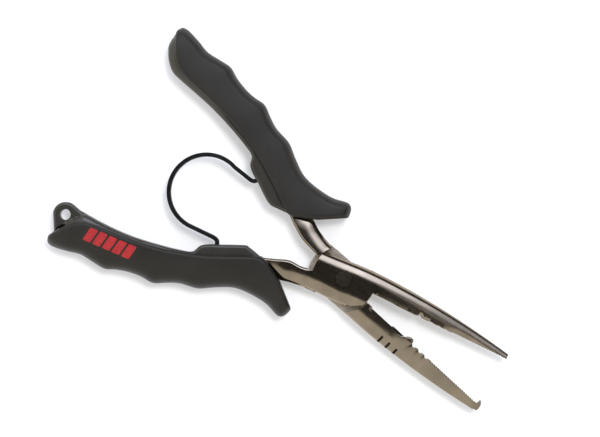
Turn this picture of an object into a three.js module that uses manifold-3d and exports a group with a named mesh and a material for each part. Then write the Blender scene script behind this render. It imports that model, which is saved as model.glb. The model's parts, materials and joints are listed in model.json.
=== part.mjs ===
// Long-nose fishing pliers: two steel halves lapped on a flush rivet, a strip spring
// between the handles, and two-part handles with a hard core and a soft grip.
//
// Each half is drawn in its own jaw frame, millimetres: the pivot axis is Z at the origin,
// +X runs along the gripping line to the jaw tip, +Y is the outer side of that half's own
// jaw, and Z = 0 is the plane between the two laps, with the half's own lap on +Z.
// The handle is drawn in a handle frame, the jaw frame turned about Z, in which the
// handle lies along -X with its finger side on -Y.

import * as THREE from "three";
import { mergeVertices } from "three/addons/utils/BufferGeometryUtils.js";
import Module from "manifold-3d";

const wasm = await Module();
wasm.setup();

// ---------------------------------------------------------------- driving dimensions

const GAP = 0.3; // between pieces that touch
const HALF_OPENING = 8.25; // degrees from the centre line to each jaw, spring relaxed
const UPPER_HANDLE_ANGLE = 11.9; // degrees from its jaw line to the upper handle's axis
const LOWER_HANDLE_ANGLE = 16.4; // the same for the lower handle

const LAP_HALF_THICKNESS = 5; // centre plane to the flat face at the pivot
const LAP_CLEARANCE = 0.15; // centre plane to each lap's sliding face
const TOP_LAP_RADIUS = 14.9; // the upper jaw half's lap
const BOTTOM_LAP_REAR_RADIUS = 16.7; // the lower jaw half's lap, behind the pivot

const RIVET_SHAFT_RADIUS = 2.5;
const RIVET_HEAD_RADIUS = 3.9;
const RIVET_HEAD_HEIGHT = 1.2;
const RIVET_CLEARANCE = 0.12; // between the rivet and the steel

const JAW_START = 10; // where the jaws leave the laps
const UPPER_JAW_TIP = 83.4; // pivot to the end of the upper jaw
const LOWER_JAW_END = 84.2; // pivot to the root of the hook
const JAW_TIP_HALF_THICKNESS = 1.9;
const UPPER_BITE = -0.2; // Y of the upper jaw's gripping face
const LOWER_BITE = 0.6; // Y of the lower jaw's gripping face

const TANG_END = -54; // handle frame
const TANG_HALF_THICKNESS = 2.8; // inside the handle

const CORE_HALF_THICKNESS = 5;
const GRIP_HALF_THICKNESS = 7.6;

const LUG_CENTRE = [-130.8, 7.4]; // handle frame
const LUG_RADIUS = 5.8;
const LUG_HOLE_RADIUS = 2.5;
const LUG_HALF_THICKNESS = 2.6;

const SPRING_THICKNESS = 1.9;
const SPRING_HEIGHT = 5;
const SPRING_SEAT = [-60, 6.6]; // handle frame: where the strip meets the boss
const SPRING_SEAT_DEPTH = 4;
const SPRING_LOOP_CENTRE = [-74.4, -2.8];
const SPRING_LOOP_RADIUS = 17.3;

const STEEL = new THREE.MeshStandardMaterial({ color: 0x4a4540, metalness: 1, roughness: 0.22 });
const RIVET_STEEL = new THREE.MeshStandardMaterial({ color: 0x45413d, metalness: 1, roughness: 0.3 });
const SPRING_STEEL = new THREE.MeshStandardMaterial({ color: 0x121212, metalness: 0.4, roughness: 0.35 });
const HARD_PLASTIC = new THREE.MeshStandardMaterial({ color: 0x25221e, metalness: 0, roughness: 0.35 });
const SOFT_RUBBER = new THREE.MeshStandardMaterial({ color: 0x222221, metalness: 0, roughness: 0.8 });

// ---------------------------------------------------------------- geometry helpers

const radians = THREE.MathUtils.degToRad;

function solid(geometry) {
  const bare = geometry.clone();
  bare.deleteAttribute("normal");
  bare.deleteAttribute("uv");
  const merged = mergeVertices(bare, 1e-4);
  return new wasm.Manifold(new wasm.Mesh({
    numProp: 3,
    vertProperties: new Float32Array(merged.attributes.position.array),
    triVerts: new Uint32Array(merged.index.array),
  }));
}

function geometryOf(body) {
  const mesh = body.getMesh();
  const geometry = new THREE.BufferGeometry();
  geometry.setAttribute("position", new THREE.BufferAttribute(mesh.vertProperties, 3));
  geometry.setIndex(new THREE.BufferAttribute(mesh.triVerts, 1));
  return geometry;
}

function joined(...bodies) {
  return bodies.reduce((whole, next) => whole.add(next));
}

// A smooth line y(x) through a few points with rising x.
function smoothLine(points) {
  const last = points.length - 1;
  const slopes = points.map((point, i) => {
    const before = points[Math.max(i - 1, 0)];
    const after = points[Math.min(i + 1, last)];
    return (after[1] - before[1]) / (after[0] - before[0]);
  });
  return (x) => {
    let i = 0;
    while (i < last - 1 && x > points[i + 1][0]) {
      i += 1;
    }
    const [x0, y0] = points[i];
    const [x1, y1] = points[i + 1];
    const width = x1 - x0;
    const t = THREE.MathUtils.clamp((x - x0) / width, 0, 1);
    const rise = y0 * (1 + 2 * t) * (1 - t) ** 2 + y1 * t * t * (3 - 2 * t);
    return rise + width * t * (1 - t) * (slopes[i] * (1 - t) - slopes[i + 1] * t);
  };
}

function evenly(from, to, count) {
  return Array.from({ length: count }, (_, i) => from + ((to - from) * i) / (count - 1));
}

// Half of a bar's section from its low edge to its high edge, as [y, z] above Z = 0.
// Each edge is rounded by a quarter ellipse, shoulder wide and drop deep; a shoulder
// of 0 leaves a square corner.
function crown(low, high, half, lowShoulder, highShoulder, drop) {
  const points = [];
  const steps = 3;
  for (let i = lowShoulder ? 0 : steps; i <= steps; i += 1) {
    const angle = (i / steps) * (Math.PI / 2);
    points.push([low + lowShoulder * (1 - Math.cos(angle)), half - drop * (1 - Math.sin(angle))]);
  }
  for (let i = steps; i >= (highShoulder ? 0 : steps); i -= 1) {
    const angle = (i / steps) * (Math.PI / 2);
    points.push([high - highShoulder * (1 - Math.cos(angle)), half - drop * (1 - Math.sin(angle))]);
  }
  return points;
}

// A crowned bar along X. low, high and half are functions of x; margin grows it all round.
function bar({ stations, low, high, half, lowShoulder = 0, highShoulder = 0, drop = 0, margin = 0 }) {
  const sections = stations.map((x) => {
    const yLow = low(x) - margin;
    const yHigh = high(x) + margin;
    const z = half(x) + margin;
    const widest = 0.46 * (yHigh - yLow);
    const top = crown(yLow, yHigh, z, Math.min(lowShoulder, widest), Math.min(highShoulder, widest),
      Math.min(drop, 0.72 * z));
    const bottom = top.map(([y, height]) => [y, -height]).reverse();
    return [...top, ...bottom].map(([y, height]) => [x, y, height]);
  });
  const around = sections[0].length;
  const triangles = [];
  for (let s = 0; s < sections.length - 1; s += 1) {
    for (let i = 0; i < around; i += 1) {
      const j = (i + 1) % around;
      const a = s * around + i;
      const b = s * around + j;
      triangles.push(a, a + around, b, b, a + around, b + around);
    }
  }
  const lastRing = (sections.length - 1) * around;
  for (let i = 1; i < around - 1; i += 1) {
    triangles.push(0, i, i + 1);
    triangles.push(lastRing, lastRing + i + 1, lastRing + i);
  }
  const geometry = new THREE.BufferGeometry();
  geometry.setAttribute("position", new THREE.Float32BufferAttribute(sections.flat(2), 3));
  geometry.setIndex(triangles);
  return solid(geometry);
}

function extruded(shape, zLow, zHigh) {
  const settings = { depth: zHigh - zLow, bevelEnabled: false, curveSegments: 20 };
  return solid(new THREE.ExtrudeGeometry(shape, settings).translate(0, 0, zLow));
}

function polygon(points) {
  return new THREE.Shape(points.map(([x, y]) => new THREE.Vector2(x, y)));
}

function disc(radius, x = 0, y = 0) {
  return new THREE.Shape().absarc(x, y, radius, 0, 2 * Math.PI);
}

function box(xLow, xHigh, yLow, yHigh, zLow, zHigh) {
  const geometry = new THREE.BoxGeometry(xHigh - xLow, yHigh - yLow, zHigh - zLow);
  return solid(geometry.translate((xLow + xHigh) / 2, (yLow + yHigh) / 2, (zLow + zHigh) / 2));
}

// Turns a handle-frame solid into its half's jaw frame.
function turned(body, degrees) {
  return solid(geometryOf(body).rotateZ(radians(degrees)));
}

// ---------------------------------------------------------------- steel halves

const TALL = 20; // taller than any piece, for cuts that go right through
const JAW_SHOULDER = 4.2; // width of the rounding along the jaws' outer edges
const STEEL_DROP = 3.4; // depth of the rounding along the steel's edges

const steelHalfThickness = smoothLine([
  [-60, TANG_HALF_THICKNESS], [-38, TANG_HALF_THICKNESS], [-28, 3.9], [-17, 4.8], [-9, LAP_HALF_THICKNESS],
  [16, LAP_HALF_THICKNESS], [40, 4.1], [84, JAW_TIP_HALF_THICKNESS],
]);

// The outer edge of a jaw narrows slowly at first and faster towards the tip.
function jawEdge(rootWidth, tipWidth, tip) {
  const narrowing = (rootWidth - tipWidth) / (tip - 15) ** 1.8;
  return (x) => rootWidth - narrowing * Math.max(x - 15, 0) ** 1.8;
}

// The tang in the handle frame: full width up to the handle, then a narrow tail.
function tang(low, high, margin = 0) {
  return bar({
    stations: evenly(TANG_END - margin, -12, 12),
    low, high, half: steelHalfThickness, lowShoulder: 3.2, highShoulder: 3.2, drop: 2.2, margin,
  });
}

function lapCut(shape) {
  return extruded(shape, -TALL, LAP_CLEARANCE);
}

function rivetBore() {
  const bore = extruded(disc(RIVET_SHAFT_RADIUS + RIVET_CLEARANCE), -TALL, TALL);
  const headSeat = extruded(disc(RIVET_HEAD_RADIUS + RIVET_CLEARANCE),
    LAP_HALF_THICKNESS - RIVET_HEAD_HEIGHT - RIVET_CLEARANCE, TALL);
  return joined(bore, headSeat);
}

// Front arc and larger rear arc, for the lap that shows behind the upper one.
function lapShape(frontRadius, rearRadius) {
  const shape = new THREE.Shape();
  shape.absarc(0, 0, frontRadius, -Math.PI / 2, Math.PI / 2);
  shape.absarc(0, 0, rearRadius, Math.PI / 2, 1.5 * Math.PI);
  return shape;
}

function steelHalf({ lap, lapLow, lapHigh, otherLap, jawLow, jawHigh, jawEnd, tangBar, handleAngle }) {
  const plate = bar({
    stations: evenly(-19, 19, 9),
    low: lapLow, high: lapHigh, half: steelHalfThickness,
    lowShoulder: 5, highShoulder: JAW_SHOULDER, drop: STEEL_DROP,
  });
  const jaw = bar({
    stations: evenly(JAW_START, jawEnd, 16),
    low: jawLow, high: jawHigh, half: steelHalfThickness,
    highShoulder: JAW_SHOULDER, drop: STEEL_DROP,
  });
  return joined(plate.intersect(extruded(lap, LAP_CLEARANCE, TALL)), jaw, turned(tangBar, handleAngle))
    .subtract(lapCut(otherLap))
    .subtract(rivetBore());
}

// A row of small teeth across a gripping face: triangles cut into the face at y.
function teeth(from, to, pitch, faceY, depth) {
  const points = [[from, faceY - 1]];
  for (let x = from; x < to; x += pitch) {
    points.push([x, faceY], [x + pitch / 2, faceY + depth]);
  }
  points.push([to, faceY], [to, faceY - 1]);
  return extruded(polygon(points), -TALL, TALL);
}

const upperTangLow = smoothLine([
  [-60, -3.1], [-38, -3.3], [-31, -4.4], [-24, -3.7], [-16, -4.2], [-10, -5.6],
]);
const upperTangHigh = smoothLine([[-60, 3.1], [-40, 3.2], [-33, 4.3], [-26, 5], [-18, 4], [-10, 3.4]]);
const lowerTangLow = smoothLine([
  [-60, -3.1], [-38, -3.4], [-29, -5.5], [-24, -5.9], [-17, -7.1], [-10, -9],
]);
const lowerTangHigh = smoothLine([[-60, 3.1], [-40, 3.2], [-33, 3.6], [-26, 4.1], [-20, 2.3], [-10, 1]]);

function upperJawHalf() {
  const bite = smoothLine([
    [10, UPPER_BITE], [24, UPPER_BITE], [28, -0.5], [37, -0.5], [40, UPPER_BITE], [90, UPPER_BITE],
  ]);
  const body = steelHalf({
    lap: disc(TOP_LAP_RADIUS),
    lapLow: smoothLine([[-20, -11.8], [-10, -11.1], [6, -10.7], [13, -7.2], [20, -5]]),
    lapHigh: smoothLine([[-20, 7.2], [-8, 7.9], [6, 8.9], [14, 9.1], [20, 9]]),
    otherLap: lapShape(TOP_LAP_RADIUS + GAP, BOTTOM_LAP_REAR_RADIUS + GAP),
    jawLow: bite,
    jawHigh: jawEdge(9.1, 2.1, UPPER_JAW_TIP),
    jawEnd: UPPER_JAW_TIP,
    tangBar: tang(lowerTangLow, lowerTangHigh),
    handleAngle: LOWER_HANDLE_ANGLE,
  });
  const crimpPocket = extruded(polygon([
    [37.9, -2], [37.9, 1], [39.6, 1.7], [43, 1.7], [44.2, 1], [44.2, -2],
  ]), -2.3, 2.3);
  const edgeNotch = extruded(disc(0.8, 39.2, 0.1), -TALL, TALL);
  return body
    .subtract(crimpPocket)
    .subtract(edgeNotch)
    .subtract(teeth(56, 81, 1.25, UPPER_BITE, 0.35));
}

function lowerJawHalf() {
  const body = steelHalf({
    lap: lapShape(TOP_LAP_RADIUS, BOTTOM_LAP_REAR_RADIUS),
    lapLow: smoothLine([[-20, -7.2], [-10, -7.8], [6, -7.9], [20, -7]]),
    lapHigh: smoothLine([[-20, 10.6], [-6, 11.4], [6, 11.5], [14, 11.2], [20, 11.1]]),
    otherLap: disc(TOP_LAP_RADIUS + GAP),
    jawLow: () => LOWER_BITE,
    jawHigh: jawEdge(11.2, 4, LOWER_JAW_END),
    jawEnd: LOWER_JAW_END,
    tangBar: tang(upperTangLow, upperTangHigh),
    handleAngle: UPPER_HANDLE_ANGLE,
  });
  const hook = new THREE.Shape();
  hook.moveTo(83, 3.4);
  hook.lineTo(83.85, 0.6);
  hook.lineTo(83.9, -1.2);
  hook.quadraticCurveTo(84.3, -1.8, 85, -1);
  hook.quadraticCurveTo(86.7, 0.8, 86.2, 3.6);
  hook.lineTo(83.4, 4.2);
  const crimpBump = polygon([[37.9, 2], [39.6, -0.2], [41, -1.2], [42.6, -1.2], [43.3, -0.4], [43.5, 2]]);
  const cutterRecess = box(18.6, 31.3, 0, 1.2, -TALL, TALL);
  const scallops = [44.6, 48.4, 52.2].map((x) => extruded(disc(1.1, x, 0.4), -TALL, TALL));
  const grooves = [31, 35.4, 39.8].flatMap((x) => [
    box(x - 0.45, x + 0.45, 7.2, 12, 1.3, TALL),
    box(x - 0.45, x + 0.45, 7.2, 12, -TALL, -1.3),
  ]);
  return joined(body, extruded(hook, -1.7, 1.7), extruded(crimpBump, -1.9, 1.9))
    .subtract(joined(cutterRecess, ...scallops, ...grooves))
    .subtract(teeth(55, 82.5, 1.25, LOWER_BITE, 0.4));
}

function pivotRivet() {
  const end = LAP_HALF_THICKNESS;
  const neck = end - RIVET_HEAD_HEIGHT;
  const profile = [
    [0, -end], [RIVET_HEAD_RADIUS, -end], [RIVET_HEAD_RADIUS, -neck], [RIVET_SHAFT_RADIUS, -neck],
    [RIVET_SHAFT_RADIUS, neck], [RIVET_HEAD_RADIUS, neck], [RIVET_HEAD_RADIUS, end], [0, end],
  ].map(([r, y]) => new THREE.Vector2(r, y));
  return solid(new THREE.LatheGeometry(profile, 40).rotateX(Math.PI / 2));
}

// ---------------------------------------------------------------- handles

// The finger side of the grip: three shallow bumps and the front guard.
const gripLow = smoothLine([
  [-136.9, -7.1], [-134, -8.2], [-127, -9.1], [-120.8, -9.5], [-115, -11.9], [-109, -14.1],
  [-103.5, -13.6], [-97.5, -13.8], [-92, -14.8], [-86, -16.8], [-80, -15.7], [-74, -14.9],
  [-65.3, -15.8], [-58, -14.1], [-50, -12.7], [-45, -13.2], [-38, -15.3], [-32.3, -17.9],
  [-28, -21.4], [-26, -22.2], [-23.7, -21.3], [-21.2, -18],
]);

// Where the soft grip ends and the hard core shows.
const gripHigh = smoothLine([
  [-136.9, -3.1], [-133.5, -0.6], [-129.5, 2.4], [-125, 4.9], [-120, 5.7], [-115, 5.1], [-110, 4],
  [-100, 2], [-90, 0.4], [-80, -0.3], [-70, -0.2], [-63, 0.3], [-55, 1.4], [-46, 2.9], [-39, 3.6],
  [-20, 3.6],
]);

// The cores' inner edges, which show, with the bosses that hold the spring. The lower
// one shows less and runs up into the lug.
const upperCoreHigh = smoothLine([
  [-136.2, -2], [-134, 2.9], [-131.6, 5.1], [-128.4, 7.1], [-125, 8.4], [-122, 8.9], [-118.5, 8.3],
  [-107, 5.6], [-98, 3.7], [-86, 2.1], [-76, 1.4], [-70.2, 1.7], [-67.6, 4.4], [-64.5, 5.7],
  [-58, 6.6], [-50, 7.8], [-46.5, 7.6], [-42, 5.5], [-37, 3], [-28, -2],
]);
const lowerCoreHigh = smoothLine([
  [-136.2, -2.8], [-133, 1.2], [-129, 4], [-125.5, 6.6], [-122.5, 9], [-120, 8.7], [-116, 7.3],
  [-107, 4.6], [-98, 2.6], [-86, 1], [-76, 0.3], [-70.2, 0.7], [-67.6, 3.6], [-64.5, 4.9], [-58, 5.9],
  [-50, 7.1], [-46, 7.5], [-43.8, 6.6], [-41, 4.6], [-37.4, 2.2], [-28, -4.5],
]);

// The core's outer edge, buried in the grip.
const coreLow = smoothLine([
  [-136.2, -4.4], [-128, -4.6], [-110, -7.6], [-90, -9.2], [-60, -8], [-40, -8], [-28, -8],
]);

const coreHalfThickness = smoothLine([
  [-136.2, 2], [-134.5, 3.6], [-130, 4.7], [-125, CORE_HALF_THICKNESS], [-28, CORE_HALF_THICKNESS],
]);
const gripHalfThickness = smoothLine([
  [-136.9, 3.4], [-135.5, 5.2], [-132, 6.8], [-127, GRIP_HALF_THICKNESS], [-20, GRIP_HALF_THICKNESS],
]);

// Everything in front of the handle's slanting front face, set back by a distance.
function aheadOfFront(setback) {
  return extruded(polygon([
    [-20.4, -40], [-20.4, -19.4], [-28.8, -6], [-36.4, 2.2], [-40.2, 4.4], [-46.5, 8], [-66, 19],
    [20, 19], [20, -40],
  ]), -TALL, TALL).translate([-setback, 0, 0]);
}

function coreBody(high, margin = 0) {
  return bar({
    stations: [-136.2, -135.2, -133.4, -131, -128, -125, -122, -119, ...evenly(-116, -72, 8), -70, -68.6,
      -67, -64.5, -61, -56, -51, -47.5, -44, -40, -36, -32, -28],
    low: coreLow, high, half: coreHalfThickness, lowShoulder: 1.2, highShoulder: 1.4, drop: 1.4, margin,
  });
}

// The narrow seat for the spring's end, straight down into the boss.
function springSeat() {
  const [x, y] = SPRING_SEAT;
  const halfWidth = SPRING_THICKNESS / 2 + GAP;
  const halfHeight = SPRING_HEIGHT / 2 + GAP;
  return box(x - halfWidth, x + halfWidth, y - SPRING_SEAT_DEPTH - GAP, y + 5, -halfHeight, halfHeight);
}

function lanyardLug() {
  const [x, y] = LUG_CENTRE;
  const outline = new THREE.Shape();
  outline.moveTo(-134.6, -1.4);
  outline.lineTo(x - LUG_RADIUS, y);
  outline.absarc(x, y, LUG_RADIUS, Math.PI, radians(62), true);
  outline.lineTo(-124.6, 10.4);
  outline.lineTo(-120, 8.7);
  outline.lineTo(-120, 4);
  outline.lineTo(-130, -1.4);
  return extruded(outline, -LUG_HALF_THICKNESS, LUG_HALF_THICKNESS);
}

function handleCore(high, tangPocket, withLug) {
  const body = coreBody(high).subtract(aheadOfFront(0.6)).subtract(tangPocket).subtract(springSeat());
  if (!withLug) {
    return body;
  }
  return body.add(lanyardLug()).subtract(extruded(disc(LUG_HOLE_RADIUS, ...LUG_CENTRE), -TALL, TALL));
}

function handleGrip(high, tangPocket, withLug) {
  const skin = bar({
    stations: [-136.9, -136.2, -134.8, -132, -128, -124.5, -120.8, ...evenly(-117, -49, 27), -46, -42, -38,
      -35, -32.3, -30, -28, -26.8, -25.4, -23.7, -22.4, -21.2],
    low: gripLow, high: gripHigh, half: gripHalfThickness, lowShoulder: 6.5, highShoulder: 4.5, drop: 5,
  });
  const grip = skin.subtract(aheadOfFront(0)).subtract(coreBody(high, GAP)).subtract(tangPocket);
  if (!withLug) {
    return grip;
  }
  const halfRoom = LUG_HALF_THICKNESS + GAP;
  const lugRoom = extruded(disc(LUG_RADIUS + GAP, ...LUG_CENTRE), -halfRoom, halfRoom);
  const lugFoot = extruded(polygon([[-137.4, 4], [-135, -2], [-129.8, -2], [-121, 4], [-121, 9]]),
    -halfRoom, halfRoom);
  return grip.subtract(joined(lugRoom, lugFoot));
}

// ---------------------------------------------------------------- return spring

// A point or direction in a handle's frame, brought to the pliers' frame.
function fromHandle([x, y], turn, side) {
  const point = new THREE.Vector2(x, y).rotateAround(new THREE.Vector2(), radians(turn));
  return new THREE.Vector2(point.x, point.y * side);
}

function returnSpring() {
  const [seatX, seatY] = SPRING_SEAT;
  const [centreX, centreY] = SPRING_LOOP_CENTRE;
  const turns = { upper: UPPER_HANDLE_ANGLE + HALF_OPENING, lower: LOWER_HANDLE_ANGLE + HALF_OPENING };
  const upperFoot = fromHandle([seatX, seatY - SPRING_SEAT_DEPTH], turns.upper, -1);
  const upperBend = fromHandle([seatX, seatY + 1.4], turns.upper, -1);
  const lowerFoot = fromHandle([seatX, seatY - SPRING_SEAT_DEPTH], turns.lower, 1);
  const lowerBend = fromHandle([seatX, seatY + 1.4], turns.lower, 1);
  const leave = radians(76); // where the loop's arc meets the straight run to the upper boss
  const arrive = radians(278); // and to the lower boss

  const loop = new THREE.Path();
  loop.moveTo(upperFoot.x, upperFoot.y);
  loop.lineTo(...upperBend.clone().lerp(upperFoot, 0.3));
  const upperRun = new THREE.Vector2(centreX + SPRING_LOOP_RADIUS * Math.cos(leave),
    centreY + SPRING_LOOP_RADIUS * Math.sin(leave));
  loop.quadraticCurveTo(...upperBend, ...upperBend.clone().lerp(upperRun, 0.2));
  loop.absarc(centreX, centreY, SPRING_LOOP_RADIUS, leave, arrive, false);
  const lowerRun = new THREE.Vector2(centreX + SPRING_LOOP_RADIUS * Math.cos(arrive),
    centreY + SPRING_LOOP_RADIUS * Math.sin(arrive));
  loop.lineTo(...lowerBend.clone().lerp(lowerRun, 0.2));
  loop.quadraticCurveTo(...lowerBend, ...lowerBend.clone().lerp(lowerFoot, 0.3));
  loop.lineTo(lowerFoot.x, lowerFoot.y);

  const count = 64;
  const middle = loop.getSpacedPoints(count);
  const offset = (side) => middle.map((point, i) => {
    const along = middle[Math.min(i + 1, count)].clone().sub(middle[Math.max(i - 1, 0)]).normalize();
    return [point.x - along.y * side, point.y + along.x * side];
  });
  const half = SPRING_THICKNESS / 2;
  const strip = polygon([...offset(half), ...offset(-half).reverse()]);
  return extruded(strip, -SPRING_HEIGHT / 2, SPRING_HEIGHT / 2);
}

// ---------------------------------------------------------------- assembly

function piece(name, body, material) {
  const mesh = new THREE.Mesh(geometryOf(body), material);
  mesh.name = name;
  return mesh;
}

// A half with its handle, in the half's jaw frame.
function half({ steelName, steel, handleName, coreHigh, tangLow, tangHigh, handleAngle, withLug }) {
  const pocket = tang(tangLow, tangHigh, GAP);
  const handle = new THREE.Group();
  handle.rotation.z = radians(handleAngle);
  handle.add(
    piece(`${handleName}_core`, handleCore(coreHigh, pocket, withLug), HARD_PLASTIC),
    piece(`${handleName}_grip`, handleGrip(coreHigh, pocket, withLug), SOFT_RUBBER),
  );
  const group = new THREE.Group();
  group.add(piece(steelName, steel, STEEL), handle);
  return group;
}

const pliers = new THREE.Group();
pliers.name = "fishing_pliers";
pliers.position.z = LAP_HALF_THICKNESS; // the origin is on the rivet's lower face

const upperJawSide = half({
  steelName: "upper_jaw_half", steel: upperJawHalf(), handleName: "lower_handle", coreHigh: lowerCoreHigh,
  tangLow: lowerTangLow, tangHigh: lowerTangHigh, handleAngle: LOWER_HANDLE_ANGLE, withLug: true,
});
upperJawSide.rotation.z = radians(HALF_OPENING);

// The other half is drawn the same way and turned over about X.
const lowerJawSide = half({
  steelName: "lower_jaw_half", steel: lowerJawHalf(), handleName: "upper_handle", coreHigh: upperCoreHigh,
  tangLow: upperTangLow, tangHigh: upperTangHigh, handleAngle: UPPER_HANDLE_ANGLE, withLug: false,
});
lowerJawSide.rotation.set(Math.PI, 0, -radians(HALF_OPENING), "ZXY");

pliers.add(
  upperJawSide,
  lowerJawSide,
  piece("pivot_rivet", pivotRivet(), RIVET_STEEL),
  piece("return_spring", returnSpring(), SPRING_STEEL),
);

export default pliers;
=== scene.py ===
import json
import math

import bpy
import numpy as np
from mathutils import Matrix, Vector
from mathutils.geometry import delaunay_2d_cdt


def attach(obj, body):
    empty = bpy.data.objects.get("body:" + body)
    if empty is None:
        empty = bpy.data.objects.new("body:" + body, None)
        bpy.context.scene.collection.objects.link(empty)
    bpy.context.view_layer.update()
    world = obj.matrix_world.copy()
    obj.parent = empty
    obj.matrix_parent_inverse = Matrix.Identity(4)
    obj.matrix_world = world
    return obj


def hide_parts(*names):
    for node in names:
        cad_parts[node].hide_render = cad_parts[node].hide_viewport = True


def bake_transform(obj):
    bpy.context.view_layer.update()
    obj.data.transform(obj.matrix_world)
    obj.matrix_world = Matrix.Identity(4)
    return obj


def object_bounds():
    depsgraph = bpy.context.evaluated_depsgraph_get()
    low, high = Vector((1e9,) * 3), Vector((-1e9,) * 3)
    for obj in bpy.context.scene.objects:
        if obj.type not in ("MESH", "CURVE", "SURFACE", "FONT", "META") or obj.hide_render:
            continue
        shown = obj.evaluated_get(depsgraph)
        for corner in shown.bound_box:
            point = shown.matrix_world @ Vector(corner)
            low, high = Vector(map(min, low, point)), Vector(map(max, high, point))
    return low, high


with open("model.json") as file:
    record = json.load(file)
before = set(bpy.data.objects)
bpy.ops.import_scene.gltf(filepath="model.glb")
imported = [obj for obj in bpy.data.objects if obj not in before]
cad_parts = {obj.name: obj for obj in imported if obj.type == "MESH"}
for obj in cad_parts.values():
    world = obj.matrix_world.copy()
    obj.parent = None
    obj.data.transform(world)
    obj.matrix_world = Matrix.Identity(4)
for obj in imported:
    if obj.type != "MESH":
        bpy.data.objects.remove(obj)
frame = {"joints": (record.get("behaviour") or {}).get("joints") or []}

# Fine visual meshes, materials, floor and light for the long-nose fishing pliers.
#
# Shapes are worked out in millimetres. Each half of the pliers has a jaw frame: the pivot
# axis is Z at the origin, +X runs along the gripping line to the jaw tip, +Y is the outer
# side of that half's own jaw, and Z = 0 is the plane between the two laps. A handle frame is
# a jaw frame turned about Z, in which the handle lies along -X with its finger side on -Y.

CAD_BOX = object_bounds()

MM = 0.001
PIVOT = Vector(frame["joints"][0]["pos_m"])  # on the pivot axis, between the two laps
PIVOT_MATRIX = Matrix.Translation(PIVOT) @ Matrix.Scale(MM, 4)  # millimetres about the pivot to metres
HALF_OPENING = 8.25  # degrees from the centre line to each jaw at rest
UPPER_HANDLE_ANGLE = 11.9  # degrees from its jaw line to the upper handle's axis
LOWER_HANDLE_ANGLE = 16.4

GAP = 0.3  # between pieces that touch
LAP_HALF_THICKNESS = 5.0
LAP_CLEARANCE = 0.15  # centre plane to each lap's sliding face
TOP_LAP_RADIUS = 14.9
BOTTOM_LAP_REAR_RADIUS = 16.7
RIVET_SHAFT_RADIUS = 2.5
RIVET_HEAD_RADIUS = 3.9
RIVET_HEAD_HEIGHT = 1.2
RIVET_CLEARANCE = 0.12
JAW_START = 10.0
UPPER_JAW_TIP = 83.4
LOWER_JAW_END = 84.2
UPPER_BITE = -0.2  # Y of the upper jaw's gripping face
LOWER_BITE = 0.6
TANG_START = -12.0
TANG_END = -54.0
CORE_HALF_THICKNESS = 5.0
GRIP_HALF_THICKNESS = 7.5  # 0.1 less than the CAD's
LUG_CENTRE = np.array([-130.8, 7.4])
LUG_RADIUS = 5.8
LUG_HOLE_RADIUS = 2.5
LUG_HALF_THICKNESS = 2.6
SPRING_THICKNESS = 1.9
SPRING_HEIGHT = 5.0
SPRING_SEAT = (-60.0, 6.6)
SPRING_SEAT_DEPTH = 4.0
SPRING_LOOP_CENTRE = np.array([-74.4, -2.8])
SPRING_LOOP_RADIUS = 17.3
SPRING_SPANS = 10  # lengths of the loop between its feet

EDGE_STEP = 0.45  # spacing of points along an outline
RINGS = (0.05, 0.13, 0.28, 0.5, 0.8, 1.15, 1.6, 2.1, 2.7, 3.4, 4.1, 4.8)  # contours inside outlines
NEAREST = 0.04  # closest that a loose point comes to a line
FLAT_STEP = 1.1  # spacing of points in the flat middle
WALL_STEP = 0.1  # a wall's first and last row, close to the faces it meets
TALL = 20.0  # taller than any piece, for cuts that go right through
PLATE_REACH = 18.5  # how far the plate's edges are drawn each way from the pivot, past the laps


# ---------------- lines and distances


def smooth_line(points):
    """A smooth line y(x) through a few points with rising x."""
    xs, ys = np.array(points, float).T
    last = len(xs) - 1
    index = np.arange(last + 1)
    before, after = np.maximum(index - 1, 0), np.minimum(index + 1, last)
    slopes = (ys[after] - ys[before]) / (xs[after] - xs[before])

    def line(x):
        i = np.clip(np.searchsorted(xs, x) - 1, 0, last - 1)
        width = xs[i + 1] - xs[i]
        t = np.clip((x - xs[i]) / width, 0, 1)
        rise = ys[i] * (1 + 2 * t) * (1 - t) ** 2 + ys[i + 1] * t * t * (3 - 2 * t)
        return rise + width * t * (1 - t) * (slopes[i] * (1 - t) - slopes[i + 1] * t)

    return line


def smooth_step(low, high, x):
    t = np.clip((np.asarray(x, float) - low) / (high - low), 0, 1)
    return t * t * (3 - 2 * t)


def spaced(points, step=EDGE_STEP):
    """The same polyline with points no further apart than step; corners stay."""
    made = [np.asarray(points[0], float)]
    for a, b in zip(points[:-1], points[1:]):
        a, b = np.asarray(a, float), np.asarray(b, float)
        count = max(1, math.ceil(np.linalg.norm(b - a) / step))
        made += [a + (b - a) * k / count for k in range(1, count + 1)]
    return np.array(made)


def curve(line, start, end, step=EDGE_STEP):
    """Points of a line y(x) from x = start to x = end."""
    xs = np.linspace(start, end, max(2, math.ceil(abs(end - start) / step)))
    return np.column_stack([xs, line(xs)])


def arc(centre, radius, start, end, step=EDGE_STEP):
    """Points of an arc between two angles in degrees."""
    count = max(3, math.ceil(radius * abs(math.radians(end - start)) / step))
    angles = np.radians(np.linspace(start, end, count))
    return np.asarray(centre) + radius * np.column_stack([np.cos(angles), np.sin(angles)])


def turned(points, degrees):
    """2-D points turned about the origin."""
    c, s = math.cos(math.radians(degrees)), math.sin(math.radians(degrees))
    return np.asarray(points) @ np.array([[c, s], [-s, c]])


def distance_to(line, points):
    """Distance from each 2-D point to a polyline."""
    a, ab = line[:-1], line[1:] - line[:-1]
    length2 = np.maximum((ab ** 2).sum(1), 1e-12)
    best = []
    for part in np.array_split(points, max(1, len(points) // 1500)):
        away = part[:, None] - a
        t = np.clip((away * ab).sum(2) / length2, 0, 1)
        best.append(np.sqrt(((away - t[..., None] * ab) ** 2).sum(2).min(1)))
    return np.concatenate(best)


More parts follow.
